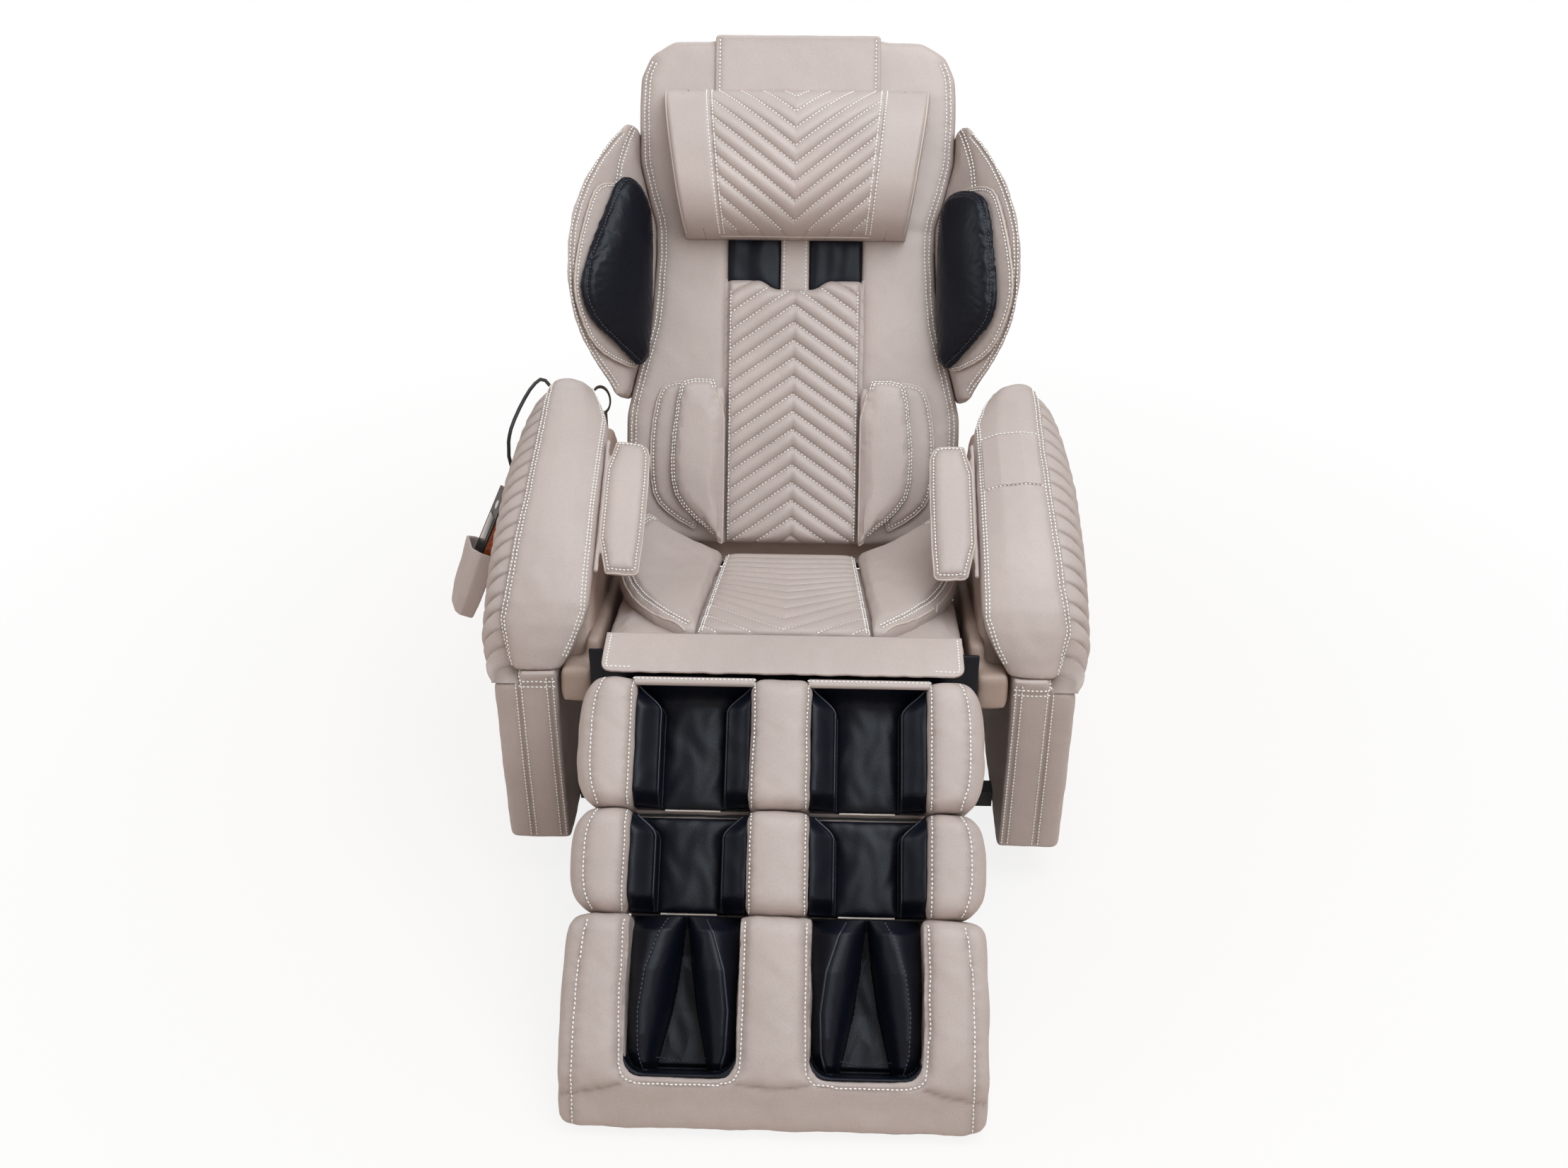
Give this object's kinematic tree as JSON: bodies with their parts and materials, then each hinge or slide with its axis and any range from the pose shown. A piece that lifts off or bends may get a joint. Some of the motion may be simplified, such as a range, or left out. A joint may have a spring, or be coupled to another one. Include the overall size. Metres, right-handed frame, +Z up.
{
  "type": "massage chair",
  "caption": "Reclining massage armchair with quilted arms, a head pillow, a roller back and a lifting leg rest with calf and foot wells.",
  "frame": {"origin": "on the floor under the middle of the chair, in the plane of symmetry", "axes": "+Y from the sitter's feet to the back of the chair, +Z up, +X to the sitter's left, which is the right of someone who faces the chair"},
  "size_m": [1.032, 1.4385, 1.1307],
  "materials": {
    "dark_paint": "semi-matt black paint",
    "bright_steel": "ground",
    "roller_rubber": "matt",
    "motor_black": "satin",
    "black_plastic": "matt",
    "black_gloss": "polished",
    "burl_wood": "lacquered",
    "pale_plastic": "satin",
    "black_rubber": "matt",
    "webbing": "woven",
    "taupe_leather": "fine grain, soft sheen",
    "black_leather": "fine grain, soft sheen"
  },
  "bodies": {
    "base": {"base_frame": "dark_paint", "seat_pan": "dark_paint", "seat_base_cushion": "taupe_leather", "seat_centre_pad": "taupe_leather", "arm_core_left": "taupe_leather", "arm_core_right": "taupe_leather", "arm_inner_pad_left": "taupe_leather", "arm_inner_pad_right": "taupe_leather", "arm_top_pad_left": "taupe_leather", "arm_top_pad_right": "taupe_leather", "arm_side_quilt_left": "taupe_leather", "arm_side_quilt_right": "taupe_leather", "remote_pocket": "taupe_leather", "phone_pocket": "taupe_leather", "pull_loop": "webbing", "back_drive_motor": "motor_black", "leg_drive_motor": "motor_black", "air_pump": "motor_black", "power_inlet": "black_plastic", "remote_cable": "black_rubber", "remote_body": "black_gloss", "remote_trim": "burl_wood"},
    "transport_wheels": {"transport_wheels": "roller_rubber"},
    "seat_wing_left": {"seat_wing_left": "taupe_leather"},
    "seat_wing_right": {"seat_wing_right": "taupe_leather"},
    "seat_flap": {"seat_flap": "taupe_leather"},
    "forearm_flap_left": {"forearm_flap_left": "taupe_leather"},
    "forearm_flap_right": {"forearm_flap_right": "taupe_leather"},
    "remote_key": {"remote_key": "pale_plastic"},
    "back_rod": {"back_drive_rod": "bright_steel"},
    "leg_rod": {"leg_drive_rod": "bright_steel"},
    "backrest": {"back_frame": "dark_paint", "back_shell": "taupe_leather", "back_side_left": "taupe_leather", "back_side_right": "taupe_leather", "head_panel": "taupe_leather", "centre_panel": "taupe_leather", "neck_panel": "black_leather", "shoulder_wing_left": "taupe_leather", "shoulder_wing_right": "taupe_leather", "shoulder_backing_left": "taupe_leather", "shoulder_backing_right": "taupe_leather"},
    "lumbar_inner_left": {"lumbar_inner_left": "taupe_leather"},
    "lumbar_inner_right": {"lumbar_inner_right": "taupe_leather"},
    "lumbar_outer_left": {"lumbar_outer_left": "taupe_leather"},
    "lumbar_outer_right": {"lumbar_outer_right": "taupe_leather"},
    "shoulder_pad_left": {"shoulder_pad_left": "black_leather"},
    "shoulder_pad_right": {"shoulder_pad_right": "black_leather"},
    "pillow": {"pillow": "taupe_leather", "pillow_strap": "taupe_leather"},
    "roller_carriage": {"roller_carriage": "bright_steel"},
    "massage_rollers": {"massage_rollers": "roller_rubber"},
    "legrest": {"leg_frame": "dark_paint", "calf_upper": "taupe_leather", "calf_lower": "taupe_leather", "calf_liners": "black_leather"},
    "foot": {"foot_cover": "taupe_leather", "foot_liners": "black_leather"},
    "foot_rollers": {"foot_rollers": "roller_rubber"}
  },
  "joints": [
    {"name": "recline", "type": "hinge", "parent": "base", "child": "backrest", "pos_m": [0, 0.10027, 0.33801], "axis": [-1, 0, 0], "range_deg": [0, 45]},
    {"name": "leg_lift", "type": "hinge", "parent": "base", "child": "legrest", "pos_m": [0, -0.35741, 0.35483], "axis": [-1, 0, 0], "range_deg": [0, 41]},
    {"name": "foot_extend", "type": "slide", "parent": "legrest", "child": "foot", "axis": [0, -0.7547, -0.6561], "range_m": [0, 0.1]},
    {"name": "seat_flap_hinge", "type": "hinge", "parent": "base", "child": "seat_flap", "pos_m": [0, -0.31263, 0.45246], "axis": [-1, 0, 0], "range_deg": [0, 29]},
    {"name": "back_rod_slide", "type": "slide", "parent": "base", "child": "back_rod", "axis": [0, -1, 0], "range_m": [0, 0.0858]},
    {"name": "leg_rod_slide", "type": "slide", "parent": "base", "child": "leg_rod", "axis": [0, -1, 0], "range_m": [0, 0.0674]},
    {"name": "seat_wing_right_hinge", "type": "hinge", "parent": "base", "child": "seat_wing_right", "pos_m": [0.1109, 0.04841, 0.3768], "axis": [0.0558, -0.9729, 0.2246], "range_deg": [0, 10]},
    {"name": "seat_wing_left_hinge", "type": "hinge", "parent": "base", "child": "seat_wing_left", "pos_m": [-0.1109, 0.04841, 0.3768], "axis": [0.0558, 0.9729, -0.2246], "range_deg": [0, 10]},
    {"name": "forearm_flap_right_hinge", "type": "hinge", "parent": "base", "child": "forearm_flap_right", "pos_m": [0.2894, -0.21855, 0.50511], "axis": [0, 0.8928, 0.4504], "range_deg": [0, 40]},
    {"name": "forearm_flap_left_hinge", "type": "hinge", "parent": "base", "child": "forearm_flap_left", "pos_m": [-0.2894, -0.21855, 0.50511], "axis": [0, -0.8928, -0.4504], "range_deg": [0, 40]},
    {"name": "lumbar_inner_right_hinge", "type": "hinge", "parent": "backrest", "child": "lumbar_inner_right", "pos_m": [0.1134, 0.12041, 0.5169], "axis": [0, -0.5, -0.866], "range_deg": [0, 20]},
    {"name": "lumbar_outer_right_hinge", "type": "hinge", "parent": "backrest", "child": "lumbar_outer_right", "pos_m": [0.15, 0.13583, 0.508], "axis": [0, -0.5, -0.866], "range_deg": [0, 12]},
    {"name": "shoulder_pad_right_hinge", "type": "hinge", "parent": "backrest", "child": "shoulder_pad_right", "pos_m": [0.33573, 0.17279, 0.80998], "axis": [0, 0.5, 0.866], "range_deg": [0, 12]},
    {"name": "lumbar_inner_left_hinge", "type": "hinge", "parent": "backrest", "child": "lumbar_inner_left", "pos_m": [-0.1134, 0.12041, 0.5169], "axis": [0, 0.5, 0.866], "range_deg": [0, 20]},
    {"name": "lumbar_outer_left_hinge", "type": "hinge", "parent": "backrest", "child": "lumbar_outer_left", "pos_m": [-0.15, 0.13583, 0.508], "axis": [0, 0.5, 0.866], "range_deg": [0, 12]},
    {"name": "shoulder_pad_left_hinge", "type": "hinge", "parent": "backrest", "child": "shoulder_pad_left", "pos_m": [-0.34927, 0.15778, 0.81864], "axis": [0, -0.5, -0.866], "range_deg": [0, 12]},
    {"name": "pillow_hinge", "type": "hinge", "parent": "backrest", "child": "pillow", "pos_m": [0, 0.48828, 1.12666], "axis": [-1, 0, 0], "range_deg": [0, 110]},
    {"name": "roller_travel", "type": "slide", "parent": "backrest", "child": "roller_carriage", "axis": [0, 0.5, 0.866], "range_m": [0, 0.3]},
    {"name": "roller_spin", "type": "hinge", "parent": "roller_carriage", "child": "massage_rollers", "pos_m": [0, 0.20363, 0.51504], "axis": [1, 0, 0], "continuous": true},
    {"name": "wheel_spin", "type": "hinge", "parent": "base", "child": "transport_wheels", "pos_m": [0, 0.434, 0.034], "axis": [1, 0, 0], "continuous": true},
    {"name": "foot_roller_spin", "type": "hinge", "parent": "foot", "child": "foot_rollers", "pos_m": [0, -0.66914, 0.10372], "axis": [1, 0, 0], "continuous": true},
    {"name": "remote_key_press", "type": "slide", "parent": "base", "child": "remote_key", "axis": [0.8612, 0.1979, -0.4681], "range_m": [0, 0.001], "stiffness_N_per_m": 800}
  ],
  "couplings": [
    {"joint": "seat_flap_hinge", "follows": "leg_lift", "ratio": 0.7},
    {"joint": "leg_rod_slide", "follows": "leg_lift", "m_per_rad": 0.093965},
    {"joint": "foot_extend", "follows": "leg_lift", "m_per_rad": 0.13974},
    {"joint": "back_rod_slide", "follows": "recline", "m_per_rad": 0.10914},
    {"joint": "seat_wing_left_hinge", "follows": "seat_wing_right_hinge", "ratio": 1},
    {"joint": "lumbar_outer_right_hinge", "follows": "lumbar_inner_right_hinge", "ratio": 0.6},
    {"joint": "lumbar_inner_left_hinge", "follows": "lumbar_inner_right_hinge", "ratio": 1},
    {"joint": "lumbar_outer_left_hinge", "follows": "lumbar_inner_right_hinge", "ratio": 0.6},
    {"joint": "shoulder_pad_left_hinge", "follows": "shoulder_pad_right_hinge", "ratio": 1}
  ]
}
